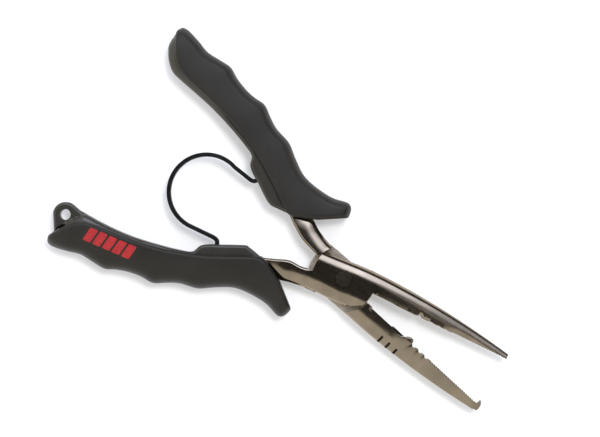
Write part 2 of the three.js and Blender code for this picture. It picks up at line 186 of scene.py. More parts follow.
def within(loop, points):
    """Which 2-D points are inside a closed loop."""
    x, y = points.T
    x0, y0 = loop.T
    x1, y1 = np.roll(loop, -1, axis=0).T
    crossings = np.zeros(len(points), int)
    for k in np.flatnonzero(y0 != y1):
        spans = (y0[k] > y) != (y1[k] > y)
        crossings += spans & (x < x0[k] + (y - y0[k]) * (x1[k] - x0[k]) / (y1[k] - y0[k]))
    return crossings % 2 == 1


def round_trip(loop):
    """A loop as a polyline that comes back to its first point."""
    return np.vstack([loop, loop[:1]])


def rounding(distance, width, drop):
    """How far a quarter-ellipse edge falls, width wide and drop deep, at a distance from the edge."""
    t = np.clip(1 - np.maximum(distance, 0) / width, 0, 1)
    return drop * (1 - np.sqrt(np.maximum(1 - t * t, 0)))


def together(*drops):
    """Several edges' falls as one, with the corners between them softened."""
    return sum(np.asarray(d) ** 4 for d in drops) ** 0.25


# ---------------- relief solids


def triangles_of(lines, loose=()):
    """Triangulates polylines, kept as edges, and loose points. Returns points and triangles."""
    points, edges = [], []
    for line in lines:
        first = len(points)
        points += [Vector(p) for p in line]
        edges += [(i, i + 1) for i in range(first, len(points) - 1)]
    points += [Vector(p) for p in loose]
    corners, _, faces, *_ = delaunay_2d_cdt(points, edges, [], 0, 1e-4)
    corners = np.array([tuple(p) for p in corners])
    faces = np.array(faces)
    a, b, c = (corners[faces[:, k]] for k in range(3))
    area = (b[:, 0] - a[:, 0]) * (c[:, 1] - a[:, 1]) - (b[:, 1] - a[:, 1]) * (c[:, 0] - a[:, 0])
    faces[area < 0] = faces[area < 0][:, ::-1]
    return corners, faces[np.abs(area) > 1e-9]


def rim_of(faces):
    """The directed edges that belong to one triangle only."""
    edges = {(int(f[k]), int(f[(k + 1) % 3])) for f in faces for k in range(3)}
    return [edge for edge in edges if edge[::-1] not in edges]


def outline_of(lines, inside):
    """The outer loop of the area that the lines bound and inside() accepts."""
    points, faces = triangles_of(lines)
    following = dict(rim_of(faces[inside(points[faces].mean(1))]))
    loops = []
    while following:
        start, here = following.popitem()
        loop = [start]
        while here != start:
            loop.append(here)
            here = following.pop(here)
        loops.append(points[loop])
    loop = max(loops, key=len)
    apart = np.linalg.norm(loop - np.roll(loop, 1, axis=0), axis=1) > 0.12
    return loop[apart]


def softened(loop, times):
    """A closed loop with its corners rounded a little."""
    for _ in range(times):
        loop = loop / 2 + (np.roll(loop, 1, axis=0) + np.roll(loop, -1, axis=0)) / 4
    return loop


def contours(loop):
    """Points on contours inside a closed loop."""
    ahead, behind = np.roll(loop, -1, axis=0), np.roll(loop, 1, axis=0)
    along = ahead - behind
    inward = np.column_stack([-along[:, 1], along[:, 0]]) / np.linalg.norm(along, axis=1)[:, None]
    closed = round_trip(loop)
    found = []
    for offset in RINGS:
        ring = loop + inward * offset
        found.append(ring[(distance_to(closed, ring) > 0.96 * offset) & within(loop, ring)])
    return np.vstack(found)


def flat_points(loop, clear, step=FLAT_STEP):
    """A triangular grid of points that lie further than clear inside a closed loop."""
    low, high = loop.min(0), loop.max(0)
    rows = np.arange(low[1], high[1], step * math.sqrt(3) / 2)
    row = np.arange(low[0], high[0], step)
    grid = np.array([(x + step / 2 * (k % 2), y) for k, y in enumerate(rows) for x in row])
    grid = grid[within(loop, grid)]
    return grid[distance_to(round_trip(loop), grid) > clear]


def stitched(left, right):
    """Triangles between two columns of (height, vertex), both from the top down."""
    faces = []
    i = j = 0
    while i < len(left) - 1 or j < len(right) - 1:
        down_left = left[i + 1][0] if i < len(left) - 1 else -math.inf
        down_right = right[j + 1][0] if j < len(right) - 1 else -math.inf
        if down_left >= down_right:
            faces.append((left[i][1], left[i + 1][1], right[j][1]))
            i += 1
        else:
            faces.append((left[i][1], right[j + 1][1], right[j][1]))
            j += 1
    return faces


def relief_triangles(loop, socket_lines):
    """Triangles that fill a closed loop, finest along its edge and round the first socket line."""
    closed = round_trip(loop)
    loose = [contours(loop), flat_points(loop, RINGS[-1] + 0.4)]
    for line in socket_lines[:1]:
        outward = line - line.mean(0)
        outward /= np.linalg.norm(outward, axis=1)[:, None]
        loose += [line + outward * offset for offset in RINGS[:4]]
    loose = np.vstack(loose)
    loose = loose[within(loop, loose)]
    for line in (closed, *socket_lines[:1]):
        loose = loose[distance_to(line, loose) > NEAREST]
    points, faces = triangles_of([closed, *socket_lines], loose)
    return points, faces[within(loop, points[faces].mean(1))]


def relief(loop, height, in_socket=None, socket_lines=()):
    """A solid with a given outline that is height(points) thick above and below Z = 0.

    Where in_socket accepts the points the solid is only a lap: it ends at the sliding face, and
    its underside is height(points, below=True). The lines are the socket's edges, the main one
    first. Returns vertices and faces."""
    points, faces = relief_triangles(loop, socket_lines)
    lap = in_socket(points[faces].mean(1)) if in_socket else np.zeros(len(faces), bool)
    top = height(points)
    heights = {"top": top, "ceiling": np.full(len(points), LAP_CLEARANCE),
               "bottom": -height(points, below=True) if in_socket else -top}
    vertices, index = [], {}

    def vertex(p, level, shift=0.0):
        key = (int(p), level, shift)
        if key not in index:
            index[key] = len(vertices)
            vertices.append((*points[p], heights[level][p] + shift))
        return index[key]

    def column(p, levels):
        return [(heights[level][p] + shift, vertex(p, level, shift)) for level, shift in levels]

    above = (("top", 0.0), ("top", -WALL_STEP))
    over_ceiling = (("ceiling", WALL_STEP), ("ceiling", 0.0))
    under_ceiling = (("ceiling", 0.0), ("ceiling", -WALL_STEP))
    below = (("bottom", WALL_STEP), ("bottom", 0.0))
    whole = above + over_ceiling + under_ceiling[1:] + below
    solid = [[vertex(p, "top") for p in f] for f in faces]
    solid += [[vertex(p, "bottom") for p in f[::-1]] for f in faces[~lap]]
    solid += [[vertex(p, "ceiling") for p in f[::-1]] for f in faces[lap]]
    rim = rim_of(faces)
    lap_edges = set(rim_of(faces[lap]))
    full_rim = [edge for edge in rim if edge not in lap_edges]
    lap_rim = [edge for edge in rim if edge in lap_edges]
    shared = {p for edge in lap_rim for p in edge} & {p for edge in full_rim for p in edge}
    for a, b in rim:
        if (a, b) in lap_edges:
            solid += stitched(*(column(p, above + over_ceiling) for p in (a, b)))
        else:
            solid += stitched(*(column(p, whole if p in shared else above + below) for p in (a, b)))
    outer = set(rim)
    for a, b in rim_of(faces[~lap]):
        if (a, b) not in outer:
            solid += stitched(*(column(p, under_ceiling + below) for p in (a, b)))
    return vertices, solid


# ---------------- Blender pieces


def place(turn=0.0, other_side=False):
    """From a half's frame in millimetres to the pliers' in metres; turn is the handle's angle."""
    tilt = math.radians(-HALF_OPENING if other_side else HALF_OPENING)
    flip = Matrix.Rotation(math.pi if other_side else 0.0, 4, "X")
    spin = Matrix.Rotation(math.radians(turn), 4, "Z")
    return PIVOT_MATRIX @ Matrix.Rotation(tilt, 4, "Z") @ flip @ spin


def linked(name, data):
    """A new object in the scene."""
    made = bpy.data.objects.new(name, data)
    bpy.context.scene.collection.objects.link(made)
    return made


def piece(name, solid):
    """A new mesh object from a solid's vertices and faces."""
    mesh = bpy.data.meshes.new(name)
    mesh.from_pydata(*(list(part) for part in (solid[0], (), solid[1])))
    mesh.update()
    return linked(name, mesh)


def smoothed(mesh, degrees):
    """Shades a mesh smooth, apart from edges sharper than an angle."""
    mesh.polygons.foreach_set("use_smooth", [True] * len(mesh.polygons))
    mesh.set_sharp_from_angle(angle=math.radians(degrees))


def combined(target, operation, tools):
    """Cuts tools from the target or joins them to it, for good."""
    for tool in tools:
        step = target.modifiers.new("step", "BOOLEAN")
        step.operation = operation
        step.solver = "EXACT"
        step.object = tool
    graph = bpy.context.evaluated_depsgraph_get()
    mesh = bpy.data.meshes.new_from_object(target.evaluated_get(graph))
    old = target.data
    target.modifiers.clear()
    target.data = mesh
    mesh.name = target.name
    bpy.data.meshes.remove(old)
    for tool in tools:
        bpy.data.objects.remove(tool)


def finished(made, matrix, body, materials, replaced, sharp=34):
    """Places a piece, shades it, parents it to the body it rides on and hides the CAD part it stands for.

    A second material is for the ground sliding face of a lap."""
    mesh = made.data
    mesh.materials.clear()
    for material in materials:
        mesh.materials.append(material)
    if len(materials) == 2:
        for face in mesh.polygons:
            at_lap = abs(face.center.z - LAP_CLEARANCE) < 0.01
            face.material_index = int(face.normal.z < -0.9 and at_lap)
    mesh.transform(matrix)
    smoothed(mesh, sharp)
    mesh.update()
    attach(made, body)
    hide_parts(replaced)


def prism(outline, low, high):
    """A straight solid with a given outline."""
    count = len(outline)
    vertices = [(x, y, low) for x, y in outline] + [(x, y, high) for x, y in outline]
    sides = [(k, (k + 1) % count, (k + 1) % count + count, k + count) for k in range(count)]
    return vertices, [tuple(range(count))[::-1], tuple(range(count, 2 * count)), *sides]


def rectangle(x0, x1, y0, y1):
    return [(x0, y0), (x1, y0), (x1, y1), (x0, y1)]


def ring(radius, centre=(0.0, 0.0), count=96):
    """Points of a whole circle, without the repeated last one."""
    return arc(centre, radius, 0, 360 * (1 - 1 / count), 2 * math.pi * radius / count)


def lathed(profile, count=96):
    """A solid of revolution about Z; the profile of (radius, z) starts and ends on the axis."""
    vertices = [(0.0, 0.0, profile[0][1])]
    for radius, z in profile[1:-1]:
        vertices += [(radius * math.cos(a), radius * math.sin(a), z)
                     for a in np.linspace(0, 2 * math.pi, count, endpoint=False)]
    vertices.append((0.0, 0.0, profile[-1][1]))
    last = len(vertices) - 1
    faces = []
    for k in range(count):
        n = (k + 1) % count
        faces.append((0, 1 + n, 1 + k))
        faces.append((last, last - count + k, last - count + n))
        for row in range(len(profile) - 3):
            a = 1 + row * count
            faces.append((a + k, a + n, a + count + n, a + count + k))
    return vertices, faces


# ---------------- steel halves

steel_half_thickness = smooth_line([
    (-60, 2.8), (-38, 2.8), (-28, 3.9), (-17, 4.8), (-9, 5), (16, 5), (40, 4.1), (84, 1.9)])
upper_tang_low = smooth_line([
    (-60, -3.1), (-38, -3.3), (-31, -4.4), (-24, -3.7), (-16, -4.2), (-10, -5.6)])
upper_tang_high = smooth_line([(-60, 3.1), (-40, 3.2), (-33, 4.3), (-26, 5), (-18, 4), (-10, 3.4)])
lower_tang_low = smooth_line([
    (-60, -3.1), (-38, -3.4), (-29, -5.5), (-24, -5.9), (-17, -7.1), (-10, -9)])
lower_tang_high = smooth_line([(-60, 3.1), (-40, 3.2), (-33, 3.6), (-26, 4.1), (-20, 2.3), (-10, 1)])


def jaw_edge(root, tip_width, tip):
    """The outer edge of a jaw, which narrows slowly at first and faster towards the tip."""
    narrowing = (root - tip_width) / (tip - 15) ** 1.8
    return lambda x: root - narrowing * np.maximum(np.asarray(x, float) - 15, 0) ** 1.8


upper_jaw_edge = jaw_edge(9.1, 2.1, UPPER_JAW_TIP)
lower_jaw_edge = jaw_edge(11.2, 4, LOWER_JAW_END)


def lap_area(front, rear):
    """Test for a lap's outline with one radius in front of the pivot and another behind it."""
    return lambda p: np.hypot(*p.T) < np.where(p[:, 0] > 0, front, rear)


def lap_line(front, rear):
    """The same outline as a polyline, with short steps where the radius changes."""
    return np.vstack([arc((0, 0), front, -90, 90), arc((0, 0), rear, 90, 270), [(0, -front)]])


def toothed(start, end, pitch, depth, face):
    """A gripping face along X with small teeth."""
    points = [(start, face)]
    for x in np.arange(start, end - pitch / 2, pitch):
        points += [(x + pitch / 2, face + depth), (x + pitch, face)]
    return points


def window(x, start, end, soft=0.5):
    """1 between start and end, falling to 0 over soft on each side."""
    return smooth_step(start - soft, start, x) * (1 - smooth_step(end, end + soft, x))


def steel_lines(spec):
    """The lines that a half's outline is made from, in its jaw frame."""
    tip, angle = spec["tip"], spec["angle"]
    return {
        "tang_low": turned(curve(spec["tang_low"], TANG_END, TANG_START), angle),
        "tang_high": turned(curve(spec["tang_high"], TANG_END, TANG_START), angle),
        "plate_low": curve(spec["lap_low"], -PLATE_REACH, PLATE_REACH),
        "plate_high": curve(spec["lap_high"], -PLATE_REACH, PLATE_REACH),
        "edge": curve(spec["edge"], JAW_START, tip),
        "bite": spaced(spec["bite"]),
        "lap": lap_line(*spec["lap"]),
    }


def end_lines(spec, lines):
    """The short lines across a half's ends: the tang's end, the jaw's tip and the jaw's root."""
    return [
        spaced([lines["tang_low"][0], lines["tang_high"][0]]),
        spaced([lines["bite"][-1], lines["edge"][-1]]),
        spaced([lines["bite"][0], (JAW_START, float(spec["edge"](JAW_START)))]),
    ]


def plate_area(spec):
    """Test for a half's plate around the pivot."""
    def test(p):
        x, y = p.T
        return (y > spec["lap_low"](x)) & (y < spec["lap_high"](x)) & lap_area(*spec["lap"])(p)

    return test


def arms_area(spec, bite):
    """Test for the tang and the jaw that run out from the plate."""
    def test(p):
        x, y = p.T
        hx, hy = turned(p, -spec["angle"]).T
        tang = (hy > spec["tang_low"](hx)) & (hy < spec["tang_high"](hx))
        jaw = (y < spec["edge"](x)) & (y > np.interp(x, *bite.T))
        return tang & (hx > TANG_END) & (hx < TANG_START) | jaw & (x > JAW_START) & (x < spec["tip"])

    return test


def tang_steps(spec, lines):
    """The stretches of the tang's edges with the other half's socket on one side."""
    steps = []
    for line in (lines["tang_low"], lines["tang_high"]):
        reach = np.hypot(*line.T)
        steps.append(line[(reach > spec["socket"][0]) & (reach < spec["lap"][1])])
    return [step for step in steps if len(step) > 1]


def steel_height(spec, lines, closed, socket_line):
    """Half of a steel half's thickness over its plan, with its shoulders and bevels."""
    tang_low, bite = lines["tang_low"], lines["bite"]
    plate_low, plate_high, edge = lines["plate_low"], lines["plate_high"], lines["edge"]
    high_line = np.vstack([plate_high[plate_high[:, 0] < 14], edge[edge[:, 0] > 14]])
    flat_low = plate_low[(plate_low[:, 0] > -14) & (plate_low[:, 0] < 6)]
    free_tang = tang_low[np.hypot(*tang_low.T) > spec["lap"][1]]
    low_line = np.vstack([free_tang, flat_low, flat_low[-1:] + (16, 0.5)])

    def height(p, below=False):
        x = p[:, 0]
        along = np.where(x > 0, x, turned(p, -spec["angle"])[:, 0])
        half = steel_half_thickness(along)
        off_lap = smooth_step(TOP_LAP_RADIUS, TOP_LAP_RADIUS + 4, np.hypot(*p.T))
        from_bite = distance_to(bite, p)
        drops = [
            rounding(distance_to(high_line, p), spec["high_shoulder"], np.minimum(3.4, 0.72 * half)),
            rounding(distance_to(low_line, p), 7.2, 0.66 * half),
            rounding(distance_to(lines["tang_high"], p), 1.1, 1.0) * off_lap,
            spec["flank"](x, from_bite),
            spec["cutter"](x, from_bite),
            rounding(distance_to(closed, p), 0.25, 0.25),
        ]
        if below:
            drops.append(rounding(distance_to(socket_line, p), 0.25, 0.25))
        return half - together(*drops)

    return height


def steel_half(spec):
    """One half of the pliers' steel, from its jaw tip to the end of its tang, in its jaw frame."""
    lines = steel_lines(spec)
    in_plate, in_arms = plate_area(spec), arms_area(spec, lines["bite"])

    def in_socket(p):
        return lap_area(*spec["socket"])(p) | (in_plate(p) & ~in_arms(p))

    loop = outline_of([*lines.values(), *end_lines(spec, lines)], lambda p: in_plate(p) | in_arms(p))
    socket_line = lap_line(*spec["socket"])
    height = steel_height(spec, lines, round_trip(loop), socket_line)
    return piece(spec["name"], relief(loop, height, in_socket, [socket_line, *tang_steps(spec, lines)]))


def bore_tool():
    """The hole for the rivet with its flat seat for the head."""
    seat = LAP_HALF_THICKNESS - RIVET_HEAD_HEIGHT - RIVET_CLEARANCE
    shaft, head = RIVET_SHAFT_RADIUS + RIVET_CLEARANCE, RIVET_HEAD_RADIUS + RIVET_CLEARANCE
    profile = [(0, -TALL), (shaft, -TALL), (shaft, seat), (head, seat), (head, TALL), (0, TALL)]
    return piece("bore", lathed(profile))


def upper_flank(x, away):
    """The upper jaw's flat leans over towards its gripping edge near the tip."""
    return 0.22 * np.clip(0.55 * upper_jaw_edge(x) - away, 0, None) * smooth_step(50, 62, x)


def lower_flank(x, away):
    """The lower jaw's flat leans away from its gripping edge, all the way across, in its front half."""
    return 0.178 * away * smooth_step(32, 46, x)


def upper_cutter(x, away):
    """A slight bevel along the cutter, and a scoop at the mouth of the crimping pocket."""
    bevel = 0.08 * np.clip(1.6 - away, 0, None) * window(x, 17, 33)
    return bevel + rounding(away, 1.5, 0.9) * window(x, 38.8, 43.8)


def lower_cutter(x, away):
    """A steeper bevel along the cutter and behind the crimping bump."""
    return 0.75 * np.clip(1.15 - away, 0, None) * window(x, 18.6, 37.5)


def upper_jaw_half(materials):
    cutter = [(JAW_START, UPPER_BITE), (24, UPPER_BITE), (28, -0.5), (37, -0.5), (38.2, -0.1), (38.6, 0.55),
              (39.3, 0.6), (39.9, -0.1), (40.6, -0.45), (43.2, -0.5), (44.2, -0.15), (45.4, UPPER_BITE)]
    scallops = [(x, UPPER_BITE - 0.25 * abs(math.sin(math.pi * (x - 45.4) / 3.4)))
                for x in np.arange(45.7, 55.6, 0.3)]
    made = steel_half({
        "name": "upper_jaw_steel", "angle": LOWER_HANDLE_ANGLE, "tip": UPPER_JAW_TIP,
        "lap": (TOP_LAP_RADIUS, TOP_LAP_RADIUS),
        "socket": (TOP_LAP_RADIUS + GAP, BOTTOM_LAP_REAR_RADIUS + GAP),
        "lap_low": smooth_line([(-20, -11.8), (-10, -11.1), (6, -10.7), (13, -7.2), (20, -5)]),
        "lap_high": smooth_line([(-20, 7.2), (-8, 7.9), (6, 8.9), (14, 9.1), (20, 9)]),
        "high_shoulder": 6.2,
        "edge": upper_jaw_edge,
        "bite": [*cutter, *scallops, *toothed(56, 81, 1.25, 0.35, UPPER_BITE), (UPPER_JAW_TIP, UPPER_BITE)],
        "tang_low": lower_tang_low, "tang_high": lower_tang_high,
        "flank": upper_flank, "cutter": upper_cutter,
    })
    pocket = [(37.9, -2), (44.2, -2), (44.2, 1), (43, 1.7), (39.6, 1.7), (37.9, 1)]
    combined(made, "DIFFERENCE", [bore_tool(), piece("pocket", prism(pocket, -2.3, 2.3))])
    finished(made, place(), "upper_jaw_side", materials, "upper_jaw_half")


def rounded_block(name, outline, half, edge):
    """A small solid with rounded edges that thins away from the gripping edge, from a closed outline."""
    loop = spaced(outline, 0.2)[:-1]
    x, y = loop.T
    if (x * np.roll(y, -1) - y * np.roll(x, -1)).sum() < 0:
        loop = loop[::-1]
    closed = round_trip(loop)

    def height(p):
        lean = 0.2 * (p[:, 1] - p[:, 1].min())
        return half - lean - rounding(distance_to(closed, p), edge, edge * 0.9)

    return piece(name, relief(loop, height))


def hook():
    """The small hook that turns in at the lower jaw's tip."""
    inner = [(83, 3.4), (83.85, 0.6), (83.9, -1.2), (84.15, -1.6), (84.55, -1.5)]
    outer = [(85, -1), (85.8, 0.1), (86.15, 1.5), (86.15, 2.6), (85.8, 3.4), (83.4, 3.8), (83, 3.4)]
    return rounded_block("hook", inner + outer, 1.9, 0.6)


def crimping_bump():
    """The bump on the lower jaw that fits the upper jaw's pocket."""
    outline = [(37.9, 2), (39.6, -0.2), (40.6, -0.95), (41.3, -1.2), (42.2, -1.25), (42.9, -0.9),
               (43.3, -0.3), (43.5, 2), (37.9, 2)]
    return rounded_block("bump", outline, 2.2, 0.9)


def hollow(x):
    """A round hollow in the lower jaw's gripping face, as points."""
    round_part = [(x + 1.1 * math.cos(a), 0.5 + math.sin(a)) for a in np.radians([150, 120, 90, 60, 30])]
    return [(x - 1.1, LOWER_BITE), *round_part, (x + 1.1, LOWER_BITE)]


def lower_jaw_half(materials):
    recess = [(18.6, LOWER_BITE), (18.8, 1.2), (31.1, 1.2), (31.3, LOWER_BITE)]
    hollows = [point for x in (44.6, 48.4, 52.2) for point in hollow(x)]
    made = steel_half({
        "name": "lower_jaw_steel", "angle": UPPER_HANDLE_ANGLE, "tip": LOWER_JAW_END,
        "lap": (TOP_LAP_RADIUS, BOTTOM_LAP_REAR_RADIUS),
        "socket": (TOP_LAP_RADIUS + GAP, TOP_LAP_RADIUS + GAP),
        "lap_low": smooth_line([(-20, -7.2), (-10, -7.8), (6, -7.9), (20, -7)]),
        "lap_high": smooth_line([(-20, 10.6), (-6, 11.4), (6, 11.5), (14, 11.2), (20, 11.1)]),
        "high_shoulder": 7.6,
        "edge": lower_jaw_edge,
        "bite": [(JAW_START, LOWER_BITE), *recess, *hollows,
                 *toothed(55, 82.5, 1.25, 0.4, LOWER_BITE), (LOWER_JAW_END, LOWER_BITE)],
        "tang_low": upper_tang_low, "tang_high": upper_tang_high,
        "flank": lower_flank, "cutter": lower_cutter,
    })
    combined(made, "UNION", [hook(), crimping_bump()])
    grooves = [piece("groove", prism(rectangle(x - 0.58, x + 0.58, 7.2, 12), *span))
               for x in (31, 35.4, 39.8) for span in ((1.3, TALL), (-TALL, -1.3))]
    combined(made, "DIFFERENCE", [bore_tool(), *grooves])
    finished(made, place(other_side=True), "lower_jaw_side", materials, "lower_jaw_half")


def pivot_rivet(material):
    """A flush rivet: a shaft with a flat head in each lap."""
    end, edge = LAP_HALF_THICKNESS, 0.25
    neck = end - RIVET_HEAD_HEIGHT
    half = [(0, end - 0.04), (RIVET_HEAD_RADIUS * 0.55, end - 0.02), (RIVET_HEAD_RADIUS - edge, end),
            (RIVET_HEAD_RADIUS, end - edge), (RIVET_HEAD_RADIUS, neck), (RIVET_SHAFT_RADIUS, neck)]
    profile = [(r, -z) for r, z in half] + [(r, z) for r, z in half[::-1]]
    made = piece("rivet", lathed(profile))
    finished(made, PIVOT_MATRIX, "upper_jaw_side", [material], "pivot_rivet")


# ---------------- handles

GRIP_START, GRIP_END = -136.9, -21.2  # handle frame
CORE_START, CORE_END = -136.2, -28.0
grip_low = smooth_line([
    (GRIP_START, -7.1), (-134, -8.2), (-127, -9.1), (-120.8, -9.5), (-115, -11.9), (-109, -14.1),
    (-103.5, -13.6), (-97.5, -13.8), (-92, -14.8), (-86, -16.8), (-80, -15.7), (-74, -14.9),
    (-65.3, -15.8), (-58, -14.1), (-50, -12.7), (-45, -13.2), (-38, -15.3), (-32.3, -17.9),
    (-28, -21.4), (-26, -22.2), (-23.7, -21.3), (GRIP_END, -18)])
grip_high = smooth_line([
    (GRIP_START, -3.1), (-133.5, -0.6), (-129.5, 2.4), (-125, 4.9), (-120, 5.7), (-115, 5.1), (-110, 4),
    (-100, 2), (-90, 0.4), (-80, -0.3), (-70, -0.2), (-63, 0.3), (-55, 1.4), (-46, 2.9), (-39, 3.6),
    (-20, 3.6)])
core_low = smooth_line([
    (CORE_START, -4.4), (-128, -4.6), (-110, -7.6), (-90, -9.2), (-60, -8), (-40, -8), (CORE_END, -8)])
upper_core_high = smooth_line([
    (CORE_START, -2), (-134, 2.9), (-131.6, 5.1), (-128.4, 7.1), (-125, 8.4), (-122, 8.9), (-118.5, 8.3),
    (-107, 5.6), (-98, 3.7), (-86, 2.1), (-76, 1.4), (-70.2, 1.7), (-67.6, 4.4), (-64.5, 5.7), (-58, 6.6),
    (-50, 7.8), (-46.5, 7.6), (-42, 5.5), (-37, 3), (CORE_END, -2)])
lower_core_high = smooth_line([
    (CORE_START, -2.8), (-133, 1.2), (-129, 4), (-125.5, 6.6), (-122.5, 9), (-120, 8.7), (-116, 7.3),
    (-107, 4.6), (-98, 2.6), (-86, 1), (-76, 0.3), (-70.2, 0.7), (-67.6, 3.6), (-64.5, 4.9), (-58, 5.9),
    (-50, 7.1), (-46, 7.5), (-43.8, 6.6), (-41, 4.6), (-37.4, 2.2), (CORE_END, -4.5)])
core_half_thickness = smooth_line([
    (CORE_START, 2), (-134.5, 3.6), (-130, 4.7), (-125, CORE_HALF_THICKNESS),
    (CORE_END, CORE_HALF_THICKNESS)])
grip_half_thickness = smooth_line([
    (GRIP_START, 3.4), (-135.5, 5.2), (-132, 6.8), (-127, 7.4), (-121, GRIP_HALF_THICKNESS),
    (-110, GRIP_HALF_THICKNESS), (-20, GRIP_HALF_THICKNESS)])
FRONT = np.array([  # the handle's slanting front face
    (-20.4, -40), (-20.4, -19.4), (-28.8, -6), (-36.4, 2.2), (-40.2, 4.4), (-46.5, 8), (-66, 19)])


def front_line(setback):
    """The handle's front face in plan, moved back by setback."""
    return spaced(FRONT - (setback, 0))


def behind_front(p, setback):
    """Which points are behind the handle's front face, moved back by setback."""
    return p[:, 0] < np.interp(p[:, 1], FRONT[:, 1], FRONT[:, 0]) - setback


def lug_outline():
    """The lanyard lug in plan, closed."""
    x, y = LUG_CENTRE
    rim = arc(LUG_CENTRE, LUG_RADIUS, 180, 62)
    foot = (-134.6, -1.4)
    inner = [rim[-1], (-124.6, 10.4), (-120, 8.7), (-120, 4), (-130, -1.4), foot]
    return np.vstack([spaced([foot, (x - LUG_RADIUS, y)]), rim, spaced(inner)])


def band_lines(low, high, start, end, margin=0.0):
    """The lines round the band between two lines y(x): its sides, then its ends."""
    low_line = curve(low, start, end) - (0, margin)
    high_line = curve(high, start, end) + (0, margin)
    ends = [spaced([low_line[k], high_line[k]]) for k in (0, -1)]
    return [low_line, high_line, *ends]


def lug_thinning(p, half, high):
    """The core's half thickness, stepping down to the lug's where the lug leaves it."""
    behind = np.maximum(-129.5 - p[:, 0], 0) * (p[:, 1] > 1)
    away = np.maximum(p[:, 1] - high(p[:, 0]), 0) + behind
    return half + (np.minimum(half, LUG_HALF_THICKNESS) - half) * smooth_step(-0.2, 2.4, away)


def core_height(p, half, high, high_line, closed):
    """The core's surface: a rounded spine, wider towards the tail, and the flat lug beyond it."""
    tail = 1 - smooth_step(-104, -86, p[:, 0])
    beyond = (p[:, 1] > high(p[:, 0])) & (p[:, 0] < -119)
    spine = rounding(distance_to(high_line, p), 1.3 + 2.7 * tail, 1.2 + 1.4 * tail)
    edge = rounding(distance_to(closed, p), 1.3, 1.2)
    rounded = half - together(np.where(beyond, 2.6 * tail, spine), edge)
    return np.where(beyond, np.maximum(rounded, LUG_HALF_THICKNESS - edge), rounded)


def handle_core(name, high, with_lug, margin=0.0):
    """The hard core: full thickness along the spine, thinner in the lug. A margin makes its cutter."""
    start, end = CORE_START - margin, CORE_END
    has_lug = with_lug and margin == 0
    setback = 0.6 if margin == 0 else -TALL
    lines = [*band_lines(core_low, high, start, end, margin), front_line(setback)]
    lug = lug_outline()
    if has_lug:
        lines.append(lug)

    def inside(p):
        x, y = p.T
        bar = (x > start) & (x < end) & (y > core_low(x) - margin) & (y < high(x) + margin)
        bar &= behind_front(p, setback)
        return bar | within(lug[:-1], p) if has_lug else bar

    loop = outline_of(lines, inside)
    closed = round_trip(loop)

    def height(p):
        half = core_half_thickness(p[:, 0]) + margin
        if margin:
            return half - rounding(distance_to(closed, p), 0.3, 0.27)
        if has_lug:
            half = lug_thinning(p, half, high)
        return core_height(p, half, high, lines[1], closed)

    return piece(name, relief(loop, height))


def tang_tool(low, high):
    """The pocket that the steel tang fits, with its clearance."""
    low_line, high_line, *_ = band_lines(low, high, TANG_END - GAP, TANG_START, GAP)
    loop = np.vstack([low_line, high_line[::-1]])
    closed = round_trip(loop)

    def height(p):
        return steel_half_thickness(p[:, 0]) + GAP - rounding(distance_to(closed, p), 2.4, 1.8)

    return piece("tang_tool", relief(loop, height))


def spring_seat_tool():
    """The slot in the boss that the spring's foot fits."""
    x, y = SPRING_SEAT
    wide, tall = SPRING_THICKNESS / 2 + GAP, SPRING_HEIGHT / 2 + GAP
    seat = rectangle(x - wide, x + wide, y - SPRING_SEAT_DEPTH - GAP, y + 5)
    return piece("seat", prism(seat, -tall, tall))


def grip_height(p):
    """Half of the grip's thickness: falling towards the finger side, with a wide rounding along it."""
    low_line, high_line = curve(grip_low, GRIP_START, GRIP_END), curve(grip_high, GRIP_START, GRIP_END)
    front = front_line(0)
    front = front[(front[:, 1] > -19.4) & (front[:, 1] < 4)]
    x, y = p.T
    half = grip_half_thickness(x)
    across = np.clip((y - grip_low(x)) / (grip_high(x) - grip_low(x)), 0, 1)
    crown = 2.2 * (1 - across) ** 2
    drops = together(
        rounding(distance_to(low_line, p), 3.8, 0.6 * half),
        rounding(distance_to(high_line, p), 1.7, 1.5),
        rounding(distance_to(front, p), 2.2, 2.0),
    )
    return half - crown - drops


def grip_body(name):
    """The soft grip as one block: finger bumps below, a front guard, and rounded edges."""
    lines = [*band_lines(grip_low, grip_high, GRIP_START, GRIP_END), front_line(0)]

    def inside(p):
        x, y = p.T
        between = (y > grip_low(x)) & (y < grip_high(x))
        return (x > GRIP_START) & (x < GRIP_END) & between & behind_front(p, 0)

    loop = softened(outline_of(lines, inside), 6)
    return piece(name, relief(loop, grip_height))


def lug_room_tools():
    """What the grip leaves free for the lug: a round room and the room over the lug's foot."""
    room = LUG_HALF_THICKNESS + GAP
    foot = [(-137.4, 4), (-135, -2), (-129.8, -2), (-121, 4), (-121, 9)]
    return [piece("lug_room", prism(ring(LUG_RADIUS + GAP, LUG_CENTRE), -room, room)),
            piece("lug_foot", prism(foot, -room, room))]


def handle(side, body, high, tang, matrix, with_lug, materials):
    """A handle's hard core and its soft grip."""
    core_material, grip_material = materials
    core = handle_core(f"{side}_core", high, with_lug)
    core_tools = [tang_tool(*tang), spring_seat_tool()]
    grip = grip_body(f"{side}_grip")
    grip_tools = [handle_core("core_tool", high, with_lug, margin=GAP)]
    if with_lug:
        core_tools.append(piece("lug_hole", prism(ring(LUG_HOLE_RADIUS, LUG_CENTRE), -TALL, TALL)))
        grip_tools += lug_room_tools()
    combined(core, "DIFFERENCE", core_tools)
    combined(grip, "DIFFERENCE", grip_tools)
    finished(core, matrix, body, [core_material], f"{side}_handle_core")
    finished(grip, matrix, body, [grip_material], f"{side}_handle_grip", sharp=50)


# ---------------- return spring


def from_handle(point, degrees, side):
    """A point of one side's handle frame as a point of the pliers, in millimetres from the pivot."""
    x, y = turned(np.array([point], float), degrees)[0]
    return np.array([x, y * side])


